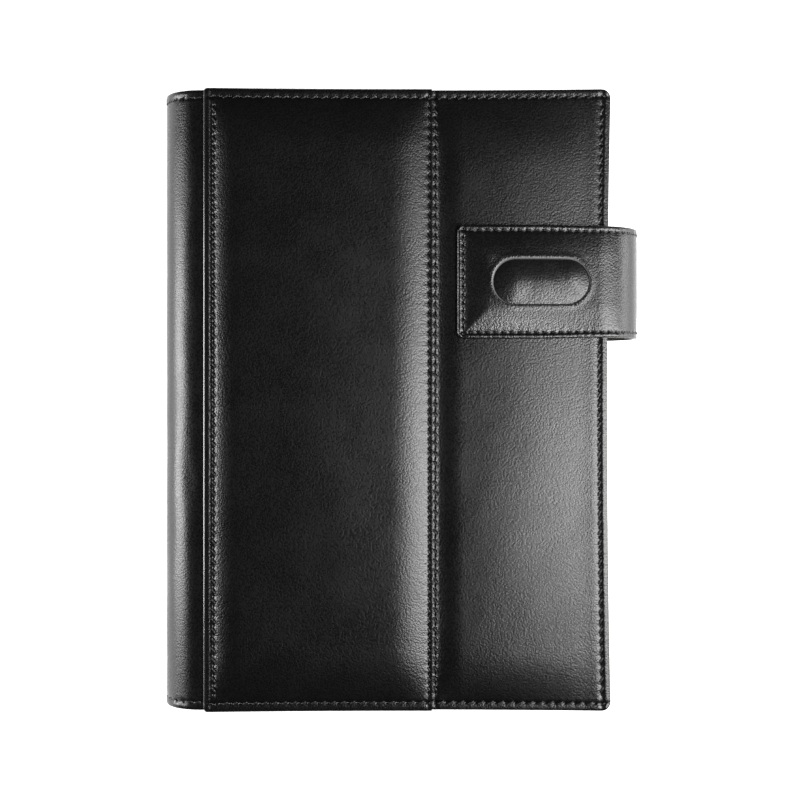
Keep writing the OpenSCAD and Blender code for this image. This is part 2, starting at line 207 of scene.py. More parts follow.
def grained(name, color, roughness, specular, relief, uneven=(), shades=(), stretch=(1, 1, 1),
            **noise):
    """A material whose relief is one fine noise of (distance, strength) relief, which also varies
    its roughness between the two values of uneven and its colour between the two shades."""
    mat, tree, shader = new_material(name, color, roughness, specular)
    fibre = texture(tree, place(tree, stretch), **noise)
    bump_chain(tree, shader, (fibre, *relief))
    if uneven:
        tree.links.new(ramp(tree, fibre, *uneven, 0.3, 0.7), shader.inputs["Roughness"])
    if shades:
        tint(tree, shader, fibre, *shades)
    return mat


def edge_material(name, tone, roughness, specular, strength):
    """Leather seen at an edge: burnished where it's turned, fibrous where it's cut."""
    return grained(name, (tone,) * 3, roughness, specular, (0.00008, strength),
                   (roughness * 0.85, roughness * 1.2), Scale=1900.0, Detail=3.0, Roughness=0.6)


def fibre_material(name, color, roughness, scale, contrast):
    """Paper and board: short fibres and a faint mottle."""
    shades = [[min(1.0, c * gain) for c in color] for gain in (1 - contrast, 1 + contrast * 0.4)]
    return grained(name, color, roughness, 0.3, (0.00008, 0.4), shades=shades, stretch=(1, 1, 6),
                   Scale=scale, Detail=4.0, Roughness=0.65)


def metal_material():
    mat, tree, shader = new_material("magnet_nickel", (0.62, 0.61, 0.58), 0.28)
    shader.inputs["Metallic"].default_value = 1.0
    brush = texture(tree, place(tree, (1, 12, 1)), Scale=900.0, Detail=2.0)
    tree.links.new(ramp(tree, brush, 0.2, 0.4), shader.inputs["Roughness"])
    return mat


LEATHER = leather_material("black_leather")
INSERT_LEATHER = leather_material("insert_leather", 0.0025, 0.27, 1.1)
SPINE_LEATHER = leather_material("spine_leather", 0.002, 0.26, 0.6)
TURNED_EDGE = edge_material("turned_edge", 0.025, 0.20, 1.0, 0.15)
# The cut edge's lighter grey is partly cut leather's own colour and partly a painted highlight on the
# window's rim.
CUT_EDGE_AND_PAINTED_HIGHLIGHT = edge_material("cut_edge_and_painted_highlight", 0.075, 0.42, 0.6, 0.5)
SUEDE = suede_material("suede_lining")
THREAD = grained("waxed_thread", (0.012, 0.012, 0.0125), 0.38, 0.42, (0.00005, 0.8), (0.32, 0.46),
                 Scale=5200.0, Detail=2.0)
PAPER = fibre_material("paper", (0.80, 0.76, 0.66), 0.8, 1400.0, 0.12)
CARD = fibre_material("kraft_card", (0.30, 0.235, 0.16), 0.75, 900.0, 0.25)
BOARD = fibre_material("pressed_board", (0.30, 0.27, 0.23), 0.85, 700.0, 0.3)
METAL = metal_material()

# ---------------- mesh building

CUT_ANGLE = math.radians(75)


def make_object(name, verts, faces, material, smooth=True):
    """A mesh object, shaded smooth but for its cut edges."""
    mesh = bpy.data.meshes.new(name)
    mesh.from_pydata(np.asarray(verts, float).tolist(), [], faces)
    mesh.update()
    mesh.materials.append(material)
    if smooth:
        mesh.shade_smooth()
        mesh.set_sharp_from_angle(angle=CUT_ANGLE)
    obj = bpy.data.objects.new(name, mesh)
    SCENE.collection.objects.link(obj)
    return obj


def settle(obj, body, kind, *nodes):
    """Has obj ride on a body, in place of the CAD's nodes. kind is not used."""
    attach(obj, body)
    if nodes:
        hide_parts(*nodes)


def paint(obj, material, chosen):
    """Gives the faces whose corners are all in chosen, a yes or no for each vertex, a material."""
    obj.data.materials.append(material)
    index = len(obj.data.materials) - 1
    for face in obj.data.polygons:
        if chosen[list(face.vertices)].all():
            face.material_index = index


def steps(low, high, step):
    return np.linspace(low, high, max(2, int(round((high - low) / step)) + 1))


def spread(low, high, fine, coarse, zone):
    """Fine steps within zone of both ends, coarse ones between."""
    return np.concatenate([steps(low, low + zone, fine)[:-1],
                           steps(low + zone, high - zone, coarse)[:-1],
                           steps(high - zone, high, fine)])


def grid(nu, nv):
    """Numbers of a grid's points, and its quads."""
    index = np.arange(nu * nv).reshape(nu, nv)
    quads = np.stack([index[:-1, :-1], index[1:, :-1], index[1:, 1:], index[:-1, 1:]], -1)
    return index, quads.reshape(-1, 4)


def flat(level):
    """A height that is level everywhere."""
    return lambda u, v: np.full(np.shape(u), level)


def round_corner(u, v, cu, cv, su, sv, r):
    """Draws a square corner of the grid in to a quarter circle about (cu, cv)."""
    a, b = (u - cu) * su / r, (v - cv) * sv / r
    inside = (a > 0) & (b > 0)
    a1, b1 = np.clip(a, 0, 1), np.clip(b, 0, 1)
    u2 = cu + su * r * a1 * np.sqrt(1 - b1 * b1 / 2)
    v2 = cv + sv * r * b1 * np.sqrt(1 - a1 * a1 / 2)
    return np.where(inside, u2, u), np.where(inside, v2, v)


def slab(us, vs, bottom, fillet, sides, corner_r=0.0, corners=(), foot=0.0, hole=None):
    """A closed sheet in flat space (u, v, w), its top face flat at w = 0.

    us, vs are the grid lines of its outline and bottom(u, v) the height of its underside.
    sides says which of "l", "r", "b", "t" have a rolled edge of radius fillet; the others are cut.
    corners are the round ones, such as "rb", of radius corner_r. foot is the radius at the bottom.
    hole(u, v) is the distance outside a window.
    """
    in_l, in_r, in_b, in_t = [fillet if s in sides else 0.0 for s in "lrbt"]
    u0, u1, v0, v1 = us[0] + in_l, us[-1] - in_r, vs[0] + in_b, vs[-1] - in_t
    gu = u0 + (us - us[0]) * (u1 - u0) / (us[-1] - us[0])
    gv = v0 + (vs - vs[0]) * (v1 - v0) / (vs[-1] - vs[0])
    u, v = np.meshgrid(gu, gv, indexing="ij")
    r = corner_r - fillet
    arcs = []
    for c in corners:
        su, sv = (-1 if c[0] == "l" else 1), (-1 if c[1] == "b" else 1)
        arcs.append(((u0 if su < 0 else u1) - su * r, (v0 if sv < 0 else v1) - sv * r, su, sv))
        u, v = round_corner(u, v, *arcs[-1], r)
    nu, nv = u.shape
    index, quads = grid(nu, nv)
    flat_u, flat_v = u.ravel().copy(), v.ravel().copy()
    hole_loop = None
    if hole is not None:
        quads, hole_loop = cut_hole(quads, flat_u, flat_v, hole)
    loop = np.concatenate([index[:, 0], index[-1, 1:], index[-2::-1, -1], index[0, -2:0:-1]])
    out = outward(flat_u[loop], flat_v[loop], sides, arcs, u0, u1, v0, v1)
    verts = [np.stack([flat_u, flat_v, np.zeros(nu * nv)], 1)]
    faces = quads.tolist()
    count = len(flat_u)
    ring = loop
    low = bottom(flat_u[loop], flat_v[loop])
    profile = [(fillet * math.sin(a), -fillet * (1 - math.cos(a)), False)
               for a in np.radians(np.linspace(18, 90, 5))]
    profile += [(fillet - foot * (1 - math.cos(a)), foot * (1 - math.sin(a)), True)
                for a in np.radians(np.linspace(0, 90, 4) if foot else [0])]
    for offset, level, from_below in profile:
        pu = flat_u[loop] + out[:, 0] * offset
        pv = flat_v[loop] + out[:, 1] * offset
        pw = low + level if from_below else np.full(len(loop), level)
        verts.append(np.stack([pu, pv, pw], 1))
        new_ring = np.arange(count, count + len(loop))
        faces += bridge(ring, new_ring)
        ring, count = new_ring, count + len(loop)
    verts.append(np.stack([flat_u, flat_v, bottom(flat_u, flat_v)], 1))
    under = index + count
    under_quads = np.stack([under[:-1, :-1], under[:-1, 1:], under[1:, 1:], under[1:, :-1]], -1)
    faces += under_quads.reshape(-1, 4).tolist()
    faces += bridge(ring, loop + count)
    count += len(flat_u)
    if hole_loop is not None:
        rim_verts, rim_faces = window_rim(hole_loop, flat_u, flat_v, hole, count)
        verts += rim_verts
        faces += rim_faces
    return np.concatenate(verts), faces


def bridge(a, b):
    """Quads between two rings, given as the numbers of their points."""
    a2, b2 = np.roll(a, -1), np.roll(b, -1)
    return np.stack([a, b, b2, a2], 1).tolist()


def outward(u, v, sides, arcs, u0, u1, v0, v1):
    """Direction in which each point of the outline is rolled off; cut sides have none."""
    out = np.zeros((len(u), 2))
    tol = 1e-7
    on = {"l": np.abs(u - u0) < tol, "r": np.abs(u - u1) < tol,
          "b": np.abs(v - v0) < tol, "t": np.abs(v - v1) < tol}
    way = {"l": (-1, 0), "r": (1, 0), "b": (0, -1), "t": (0, 1)}
    for s in "lrbt":
        if s in sides:
            out[on[s]] += way[s]
    for cu, cv, su, sv in arcs:
        a, b = u - cu, v - cv
        inside = (a * su > -tol) & (b * sv > -tol)
        length = np.maximum(np.hypot(a, b), 1e-9)
        out[inside] = np.stack([a / length, b / length], 1)[inside]
    return out


def slope_of(field, u, v):
    """Gradient of field(u, v) at each point."""
    e = 1e-6
    gu = (field(u + e, v) - field(u - e, v)) / (2 * e)
    gv = (field(u, v + e) - field(u, v - e)) / (2 * e)
    return gu, gv


def cut_hole(quads, u, v, hole):
    """Drops the faces inside the window and draws the rim's points on to its outline."""
    keep = (hole(u, v)[quads] > 0).all(1)
    kept, dropped = quads[keep], quads[~keep]
    rim = np.intersect1d(kept.ravel(), dropped.ravel())
    for _ in range(3):
        d = hole(u[rim], v[rim])
        gu, gv = slope_of(hole, u[rim], v[rim])
        u[rim] -= d * gu
        v[rim] -= d * gv
    edges = set()
    for q in dropped.tolist():
        edges.update(zip(q, q[1:] + q[:1]))
    follow = {}
    for q in kept.tolist():
        for a, b in zip(q, q[1:] + q[:1]):
            if (b, a) in edges:
                follow[a] = b
    loop = [next(iter(follow))]
    while follow[loop[-1]] != loop[0]:
        loop.append(follow[loop[-1]])
    return kept, np.array(loop)


def window_rim(loop, u, v, hole, count):
    """The window's cut edge: a small roll, then a bevel down to the layer below, and its floor."""
    gu, gv = slope_of(hole, u[loop], v[loop])
    verts, faces, ring = [], [], loop
    width = 0.75 + 0.35 * (gu * 0.7 + gv * 0.7)
    for reach, depth in RIM_PROFILE:
        w = np.full(len(loop), -depth)
        reach = reach * width
        verts.append(np.stack([u[loop] - gu * reach, v[loop] - gv * reach, w], 1))
        new_ring = np.arange(count, count + len(loop))
        faces += bridge(ring, new_ring)
        ring, count = new_ring, count + len(loop)
    faces.append(ring[::-1].tolist())
    return verts, faces


def refine(verts, faces, distance, band, cuts=3):
    """Divides the top face finely wherever distance(u, v) is under band."""
    work = bmesh.new()
    made = [work.verts.new(p) for p in verts.tolist()]
    for f in faces:
        work.faces.new([made[i] for i in f])
    near = (distance(verts[:, 0], verts[:, 1]) < band) & (np.abs(verts[:, 2]) < 1e-9)
    work.verts.index_update()
    edges = [e for e in work.edges if near[e.verts[0].index] and near[e.verts[1].index]]
    bmesh.ops.subdivide_edges(work, edges=edges, cuts=cuts, use_grid_fill=True)
    work.verts.index_update()
    new_verts = np.array([v.co[:] for v in work.verts])
    new_faces = [[v.index for v in f.verts] for f in work.faces]
    work.free()
    return new_verts, new_faces


def raise_top(verts, height, fillet, whole=None):
    """Lifts the top face to height(u, v), and less and less of its rolled edge.

    whole marks points that rise fully however deep they are."""
    share = np.clip(1 + verts[:, 2] / (fillet * 1.01), 0, 1)
    if whole is not None:
        share[whole] = 1
    verts[:, 2] += share * height(verts[:, 0], verts[:, 1])
    return verts


def wavelets(u, v, scale, amount, seed):
    """Slow uneven swells of the leather, amount high and about scale across."""
    offset = Vector((seed * 7.3, seed * 3.1, seed * 1.7))
    pts = np.stack([u, v], 1) / scale
    return amount * np.array([noise.noise(Vector((p[0], p[1], 0)) + offset) for p in pts])


def bump(d, width):
    return np.exp(-(d / width) ** 2)


def ease(d, width):
    """Rises from 0 at d = 0, steep at first, to 1 at d = width."""
    return 1 - (1 - np.clip(d / width, 0, 1)) ** 2.2


def rise(d, width):
    """A smooth step, from 0 at d = 0 to 1 at d = width."""
    t = np.clip(d / width, 0, 1)
    return t * t * (3 - 2 * t)


def soft_min(a, b, k):
    """The lower of two heights, with the ridge between them rounded over k."""
    h = np.clip(0.5 + 0.5 * (b - a) / k, 0, 1)
    return b * (1 - h) + a * h - k * h * (1 - h)


HOLE_DEPTH = 0.60 * MM


def row_dent(across, along, pitch, hole_at, groove=0.17 * MM, width=0.75 * MM):
    """Relief of a stitch row: a shallow groove, pulled into a hole between each two threads."""
    nearest = (along - hole_at + pitch / 2) % pitch - pitch / 2
    hole = HOLE_DEPTH * bump(across, 0.25 * MM) * bump(nearest, 0.32 * MM)
    swell = 0.05 * MM * np.exp(-np.abs(across) / (1.3 * MM)) * np.cos(2 * np.pi * nearest / pitch)
    return -groove * bump(across, width) - hole - swell


SETTLE_FRAMES = 20
SLACK = 0.0006
CLOTH = {"vertex_group_mass": "held", "quality": 6, "mass": 0.3, "tension_stiffness": 20,
         "compression_stiffness": 20, "shear_stiffness": 10, "bending_stiffness": 0.5,
         "use_pressure": True, "uniform_pressure_force": 1.0, "shrink_min": -SLACK}


class Swell:
    """How far a pad's leather moves when it settles as cloth: pushed up by its foam, held at its
    stitches. It is worked out on a coarse net and read anywhere as a smooth B-spline surface."""

    def __init__(self, height, u0, u1, v0, v1, net, cap):
        self.us, self.vs = steps(u0, u1, net), steps(v0, v1, net)
        u, v = np.meshgrid(self.us, self.vs, indexing="ij")
        nu, nv = u.shape
        self.moved = np.zeros((nu, nv))
        start = np.stack([u.ravel(), v.ravel(), height(u.ravel(), v.ravel())], 1)
        index, quads = grid(nu, nv)
        net_obj = make_object("net", start, quads.tolist(), LEATHER)
        held = net_obj.vertex_groups.new(name="held")
        rim = np.unique(np.concatenate([index[0], index[-1], index[:, 0], index[:, -1]]))
        held.add(rim.tolist(), 1.0, "REPLACE")
        cloth = net_obj.modifiers.new("cloth", "CLOTH").settings
        for key, value in CLOTH.items():
            setattr(cloth, key, value)
        cloth.effector_weights.gravity = 0
        for number in range(1, SETTLE_FRAMES + 1):
            SCENE.frame_set(number)
        settled = net_obj.evaluated_get(bpy.context.evaluated_depsgraph_get()).to_mesh()
        ends = np.empty(len(start) * 3)
        settled.vertices.foreach_get("co", ends)
        lift = ends.reshape(-1, 3)[:, 2] - start[:, 2]
        self.moved = (lift * cap / np.abs(lift).max()).reshape(nu, nv)
        bpy.data.objects.remove(net_obj)
        SCENE.frame_set(1)

    def at(self, u, v):
        """Cubic B-spline reading of the net, which is zero outside it."""
        padded = np.pad(self.moved, 2)
        s = (u - self.us[0]) / (self.us[1] - self.us[0])
        t = (v - self.vs[0]) / (self.vs[1] - self.vs[0])
        s = np.clip(s, 0, len(self.us) - 1) + 2
        t = np.clip(t, 0, len(self.vs) - 1) + 2
        i = np.minimum(s.astype(int), padded.shape[0] - 3)
        j = np.minimum(t.astype(int), padded.shape[1] - 3)
        total = np.zeros(np.shape(u))
        for a, weight_a in enumerate(spline_weights(s - i)):
            for b, weight_b in enumerate(spline_weights(t - j)):
                total += weight_a * weight_b * padded[i + a - 1, j + b - 1]
        return total


def spline_weights(f):
    g = 1 - f
    return (g ** 3 / 6, (3 * f ** 3 - 6 * f ** 2 + 4) / 6, (3 * g ** 3 - 6 * g ** 2 + 4) / 6,
            f ** 3 / 6)


# ---------------- stitches


def stitch_template(rings=7, segments=8):
    """A short thread, along u from -0.5 to 0.5, round in section and tapering at both ends."""
    verts, faces = [], []
    ring = np.arange(segments)
    turns = 2 * math.pi * ring / segments
    for i in range(rings):
        t = i / (rings - 1)
        r = 0.5 * max(0.22, math.sin(math.pi * (0.12 + 0.76 * t)) ** 0.5)
        verts += [(t - 0.5, r * math.cos(a), r * math.sin(a)) for a in turns]
    for i in range(rings - 1):
        faces += bridge(ring + i * segments, ring + (i + 1) * segments)
    faces.append(ring.tolist())
    faces.append((ring[::-1] + (rings - 1) * segments).tolist())
    return np.array(verts), faces


STITCH_VERTS, STITCH_FACES = stitch_template()


def stitches(name, points, alongs, ups, length, width, slant=14, sink=0.25):
    """One thread at each point. alongs and ups, one for all or one each, point along the row and
    off the leather; slant is in degrees."""
    alongs, ups = [np.broadcast_to(np.array(way), (len(points), 3)) for way in (alongs, ups)]
    verts, faces = [], []
    a = math.radians(slant)
    for p, t, n in zip(points, alongs, ups):
        t, n = Vector(t).normalized(), Vector(n).normalized()
        b = n.cross(t)
        t2, b2 = t * math.cos(a) + b * math.sin(a), b * math.cos(a) - t * math.sin(a)
        base = len(verts) * len(STITCH_VERTS)
        u = STITCH_VERTS[:, 0] * length
        arch = width * (0.55 - sink) - width * 1.5 * (2 * STITCH_VERTS[:, 0]) ** 4
        out = STITCH_VERTS[:, 2] * width * 0.8 + arch
        side = STITCH_VERTS[:, 1] * width
        verts.append(np.array(p) + np.outer(u, t2) + np.outer(side, b2) + np.outer(out, n))
        faces += [tuple(base + i for i in f) for f in STITCH_FACES]
    return make_object(name, np.concatenate(verts), faces, THREAD)


def row_positions(low, high, pitch):
    n = int((high - low) / pitch)
    return (low + high) / 2 + (np.arange(n) - (n - 1) / 2) * pitch


# ---------------- front panels

# The outline isn't ruler straight: the fore-edge is drawn in at its middle, head and tail a little
FORE_BOW = 1.25 * MM
FORE_DRAW = 0.3 * MM
HEAD_BOW = 0.5 * MM


def bow(verts):
    """Bends the flat front's outline a little, as stitching draws the leather in."""
    x, y = verts[:, 0], verts[:, 1]
    share = np.clip((x - SEAM_X) / (EDGE_X - SEAM_X), 0, 1)
    across = (x - LAP_X) / (EDGE_X - LAP_X) * 2 - 1
    verts[:, 0] = x + share * (FORE_BOW * (y / HALF_H) ** 2 - FORE_DRAW)
    verts[:, 1] = y + (y / HALF_H) * HEAD_BOW * (across ** 2 - 0.6)
    return verts


ROW_Y_AT = row_positions(-ROW_Y + 1.5 * MM, ROW_Y - 1.5 * MM, PITCH)
HOLE_Y = ROW_Y_AT[0] - PITCH / 2
HEAD_ROW_X = row_positions(ROW_LAP_X + 2 * MM, ROW_EDGE_X - 2 * MM, PITCH)
HOLE_X = HEAD_ROW_X[0] - PITCH / 2
ROLL = 0.6 * MM
LAP_ROLL = 0.8 * MM
LAP_STEP = 0.40 * MM

# The fore-edge: the pad stands up beside the row, and the leather falls off outside it
SHOULDER, SHOULDER_RUN = 0.24 * MM, 4 * MM
EDGE_FALL, EDGE_FALL_RUN = 0.45 * MM, 1.5 * MM


class Panel:
    """One padded panel of the front, between the stitch rows row_l and row_r."""

    def __init__(self, edge_l, edge_r, row_l, row_r, ease_l, ease_r, head_run, seed, pad_h,
                 swell_cap):
        self.edge_l, self.edge_r, self.row_l, self.row_r = edge_l, edge_r, row_l, row_r
        self.pad_h, self.head_run = pad_h, head_run
        self.ease_l, self.ease_r, self.seed = ease_l, ease_r, seed
        self.swell = Swell(self.pad, row_l, row_r, -ROW_Y, ROW_Y, 2.6 * MM, swell_cap)

    def pad(self, u, v):
        across = ease(u - self.row_l, self.ease_l) * ease(self.row_r - u, self.ease_r)
        return self.pad_h * across * ease(ROW_Y - v, self.head_run) * ease(ROW_Y + v, TAIL_RUN)

    def height(self, u, v):
        d_l, d_r, d_y = u - self.row_l, self.row_r - u, ROW_Y - np.abs(v)
        z = self.pad(u, v) + self.swell.at(u, v)
        z = z + 0.06 * MM * bump(d_y + 1.5 * MM, 0.8 * MM)
        if self.edge_l == LAP_X:
            z = z + LAP_STEP * rise(d_l + 2.3 * MM, 1.4 * MM)
            z = z + row_dent(d_l, v, PITCH, HOLE_Y, 0.06 * MM) + row_dent(d_r, v, PITCH, HOLE_Y)
        else:
            z = z + SHOULDER * bump(np.maximum(d_r, 0), SHOULDER_RUN)
            z = z - EDGE_FALL * np.clip(1 - (EDGE_X - ROLL - u) / EDGE_FALL_RUN, 0, 1) ** 2
            z = z + row_dent(d_l, v, PITCH, HOLE_Y)
            z = z + row_dent(d_r, v, PITCH, HOLE_Y, 0.38 * MM, 1 * MM)
        z = z + row_dent(d_y, u, PITCH, HOLE_X)
        inner = np.clip(np.minimum(np.minimum(d_l, d_r), d_y) / (9 * MM), 0, 1)
        z = z + inner * wavelets(u, v, 36 * MM, 0.09 * MM, self.seed)
        return z + inner * wavelets(u, v, 12 * MM, 0.025 * MM, self.seed + 5)

    def row_distance(self, u, v):
        d_l, d_r, d_y = u - self.row_l, self.row_r - u, ROW_Y - np.abs(v)
        return np.minimum(np.minimum(np.abs(d_l), np.abs(d_r)), np.abs(d_y))

    def skin(self, name, half_h, bottom, sides, corners, radius, node, foam):
        roll = LAP_ROLL if self.edge_l == LAP_X else ROLL
        us = spread(self.edge_l, self.edge_r, 0.4 * MM, STEP, 2 * MM)
        verts, faces = slab(us, steps(-half_h, half_h, STEP), bottom, roll, sides,
                            corner_r=radius, corners=corners, foot=0.3 * MM)
        verts, faces = refine(verts, faces, self.row_distance, 1.9 * MM, 3)
        turned = (verts[:, 0] < LAP_X + roll + 0.05 * MM) & (np.abs(verts[:, 1]) < half_h - roll)
        verts = raise_top(verts, self.height, roll)
        verts[:, 2] += PLATE_TOP
        obj = make_object(name, bow(verts), faces, LEATHER)
        if self.edge_l == LAP_X:
            paint(obj, TURNED_EDGE, turned)
        settle(obj, "front", "leather", node, foam)


STEP = 1.0 * MM
TAIL_RUN = 19 * MM
CORNER_R = 3.4 * MM
left_panel = Panel(LAP_X, SEAM_X, ROW_LAP_X, SEAM_X - ROW_SEAM, 10 * MM, 14 * MM, 19 * MM, 1.0,
                   2.3 * MM, 0.3 * MM)
right_panel = Panel(SEAM_X, EDGE_X, SEAM_X + ROW_SEAM, ROW_EDGE_X, 10 * MM, 50 * MM, 27 * MM, 2.0,
                    2.35 * MM, 0.25 * MM)


def left_bottom(u, v):
    """On the spine leather along the lap, down round the board elsewhere."""
    t = np.clip((u - (BOARD_X - 1 * MM)) / (0.8 * MM), 0, 1)
    return PLATE_Z + 0.02 * MM + (BORDER_Z - PLATE_Z) * t - PLATE_TOP


left_panel.skin("front_left_leather", HALF_H + 0.5 * MM, left_bottom, "lbt", ("lb", "lt"), 1.6 * MM,
                "front_left_panel", "front_left_foam")
right_panel.skin("front_right_leather", HALF_H, flat(BORDER_Z - PLATE_TOP), "rbt", ("rb", "rt"),
                 CORNER_R, "front_right_panel", "front_right_foam")


def row_on_front(name, xs, ys, along, slant, *nodes, lift=0.0):
    """Threads of one straight row lying in the front's leather."""
    xs, ys = np.broadcast_arrays(np.asarray(xs, float), np.asarray(ys, float))
    z = PLATE_TOP + 0.11 * MM + lift + np.zeros(len(xs))
    points = bow(np.stack([xs, ys, z], 1))
    obj = stitches(name, points, along, (0, 0, 1), 3.0 * MM, 0.74 * MM, slant)
    settle(obj, "front", "thread", *nodes)


DOWN = (0, 1, 0)
row_on_front("lap_row", ROW_LAP_X, ROW_Y_AT, DOWN, 32, "lap_stitching", lift=LAP_STEP)
row_on_front("seam_row_left", SEAM_X - ROW_SEAM, ROW_Y_AT, DOWN, 32, "seam_stitching")
row_on_front("seam_row_right", SEAM_X + ROW_SEAM, ROW_Y_AT, DOWN, 32)
row_on_front("fore_row", ROW_EDGE_X, ROW_Y_AT, DOWN, -32, "front_border_stitching", lift=-0.12 * MM)
for side, word in ((1, "head"), (-1, "tail")):
    row_on_front(word + "_row", HEAD_ROW_X, side * ROW_Y, (1, 0, 0), 32)

# ---------------- spine


def bend_path(verts, centre_x, centre_z, radius, facing):
    """Maps flat (u, v, w) round a half circle. u is the arc length from the middle, w the height
    above the outer face. facing is -1 for the spine and +1 for the strap."""
    u, v, w = verts.T
    quarter = radius * math.pi / 2
    angle = np.clip(u, -quarter, quarter) / radius
    over = u - np.clip(u, -quarter, quarter)
    x = centre_x + facing * (radius + w) * np.cos(angle) - facing * np.abs(over)
    z = centre_z + (radius + w) * np.sin(angle)
    return np.stack([x, v, z], 1)


def arc_point(centre_x, centre_z, radius, facing, degrees):
    a = math.radians(degrees)
    return (centre_x + facing * radius * math.cos(a), 0.0, centre_z + radius * math.sin(a))


class Third:
    """A third of a half circle, bent over one hinge: the two bodies it joins, which are not used, and
    the CAD nodes that its leather, lining and thread stand for. start is counted in thirds from
    the middle."""

    def __init__(self, word, start, bodies, **nodes):
        self.word, self.start, self.bodies, self.nodes = word, start, bodies, nodes

    def reach(self, radius):
        third = math.radians(60) * radius
        return self.start * third, (self.start + 1) * third

    def bend(self, obj, kind, point):
        """point(degrees) is a point of the half circle; its points are not used."""
        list(self.bodies)
        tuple(point(60 * self.start))
        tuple(point(60 * self.start + 60))
        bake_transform(obj)
        if kind in self.nodes:
            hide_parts(*self.nodes[kind])


SPINE_PARTS = (
    Third("lower", -1.5, ("back", "spine_lower"), leather=("spine_leather_lower",),
          lining=("spine_lining_lower",), thread=("spine_stitching_lower",)),
    Third("middle", -0.5, ("spine_lower", "spine_upper"), leather=("spine_leather_upper",),
          lining=("spine_lining_upper",)),
    Third("upper", 0.5, ("spine_upper", "front"), leather=("front_spine_leather",),
          lining=("front_spine_lining", "spine_lining_back"), thread=("spine_stitching_upper",)),
)
FLAT_UNDER_LAP = BOARD_X - 0.5 * MM - SPINE_X
FLAT_ON_BACK = 6 * MM
SPINE_ROLL = 0.3 * MM

# A soft dent where the spine has been held, towards its tail
DENT_U, DENT_V = 18.5 * MM, -30 * MM
DENT_LONG, DENT_WIDE, DENT_DEEP = 9 * MM, 3.5 * MM, 0.36 * MM


def spine_point(degrees):
    return arc_point(SPINE_X, SPINE_R, SPINE_R, -1, degrees)


def spine_top(u, v):
    """Outer face of the spine leather: rows at its ends and faint slack along it."""
    d_end = ROW_Y - np.abs(v)
    z = 0.20 * MM * bump(d_end + 1.5 * MM, 0.8 * MM)
    z = z + row_dent(d_end, u, PITCH, PITCH / 2)
    inner = np.clip(d_end / (10 * MM), 0, 1)
    z = z + inner * wavelets(u * 2.0, v * 0.6, 12 * MM, 0.13 * MM, 3.0)
    return z - DENT_DEEP * bump(u - DENT_U, DENT_WIDE) * bump(v - DENT_V, DENT_LONG)


def end_row_distance(u, v):
    return np.abs(ROW_Y - np.abs(v))


def spine_piece(part):
    """Leather and lining of one third, with the flats that run on from its ends."""
    u0, u1 = part.reach(SPINE_R)
    if part.word == "upper":
        u1 += FLAT_UNDER_LAP
    if part.word == "lower":
        u0 -= FLAT_ON_BACK
    for kind, thick, inset, material in (("leather", LEATHER_T, 0.0, SPINE_LEATHER),
                                         ("lining", LINING_T, 0.8 * MM, SUEDE)):
        half = HALF_H - inset
        vs = spread(-half, half, 0.7 * MM, 2.0 * MM, 6 * MM)
        low_u = u0 - 3 * MM if part.word == "lower" and kind == "lining" else u0
        verts, faces = slab(steps(low_u, u1, 0.7 * MM), vs, flat(-thick), SPINE_ROLL, "bt")
        if kind == "leather":
            verts, faces = refine(verts, faces, end_row_distance, 1.6 * MM, 2)
            verts = raise_top(verts, spine_top, SPINE_ROLL)
        else:
            verts[:, 2] -= LEATHER_T
        verts = bend_path(verts, SPINE_X, SPINE_R, SPINE_R, -1)
        name = f"spine_{kind}_{part.word}_skin"
        obj = make_object(name, verts, [f[::-1] for f in faces], material)
        part.bend(obj, kind, spine_point)


def spine_rows(part):
    """Threads at both ends of the spine over one third."""
    u0, u1 = part.reach(SPINE_R)
    points, alongs, ups = [], [], []
    for side in (-1, 1):
        for u in np.arange(-6, 7) * PITCH:
            if u0 <= u + 0.2 * MM < u1:
                a = u / SPINE_R
                normal = Vector((-math.cos(a), 0, math.sin(a)))
                centre = Vector((SPINE_X, side * ROW_Y, SPINE_R))
                points.append(centre + normal * (SPINE_R - 0.15 * MM))
                alongs.append((math.sin(a), 0, math.cos(a)))
                ups.append(normal)
    obj = stitches(f"spine_row_{part.word}", points, alongs, ups, 2.7 * MM, 0.55 * MM)
    part.bend(obj, "thread", spine_point)


for part in SPINE_PARTS:
    spine_piece(part)
for part in SPINE_PARTS:
    spine_rows(part)

# ---------------- strap

QUARTER = STRAP_R * math.pi / 2
TIP_U = QUARTER + STRAP_X - tab_low.x
WINDOW_U = QUARTER + STRAP_X - WINDOW_X
ROW_W = HALF_W - ROW_STRAP
ROW_TIP_U = TIP_U - ROW_STRAP
ANCHOR_L = 18 * MM
TAB_PAD = 2.1 * MM
PAD_RUN = 9.6 * MM
STRAP_STEP = 0.6 * MM
STRAP_ROLL = 0.5 * MM
ROW_U_AT = row_positions(-TIP_U, ROW_TIP_U - 0.8 * MM, STRAP_PITCH)
ROW_V_AT = row_positions(-ROW_W + 0.8 * MM, ROW_W - 0.8 * MM, STRAP_PITCH)
HOLE_U = ROW_U_AT[0] - STRAP_PITCH / 2
STRAP_PARTS = (
    Third("lower", -1.5, ("back", "strap_lower"),
          leather=("strap_anchor_leather", "strap_leather_lower"),
          lining=("strap_anchor_lining", "strap_lining_lower"), thread=("strap_stitching_lower",)),
    Third("middle", -0.5, ("strap_lower", "strap_upper"), leather=("strap_leather_upper",),
          lining=("strap_lining_upper",), thread=("strap_stitching_upper",)),
    Third("tab", 0.5, ("strap_upper", "strap_tab"), leather=("strap_tab_leather", "strap_tab_foam"),
          lining=("strap_tab_lining",), thread=("strap_tab_stitching",)),
)

# How the window's cut edge goes in and down, as (in, down) steps
RIM_PROFILE = [(0.10 * MM, 0.03 * MM), (0.26 * MM, 0.12 * MM), (0.42 * MM, 0.24 * MM),
               (0.54 * MM, 0.40 * MM), (0.60 * MM, 0.75 * MM), (0.62 * MM, 1.3 * MM)]


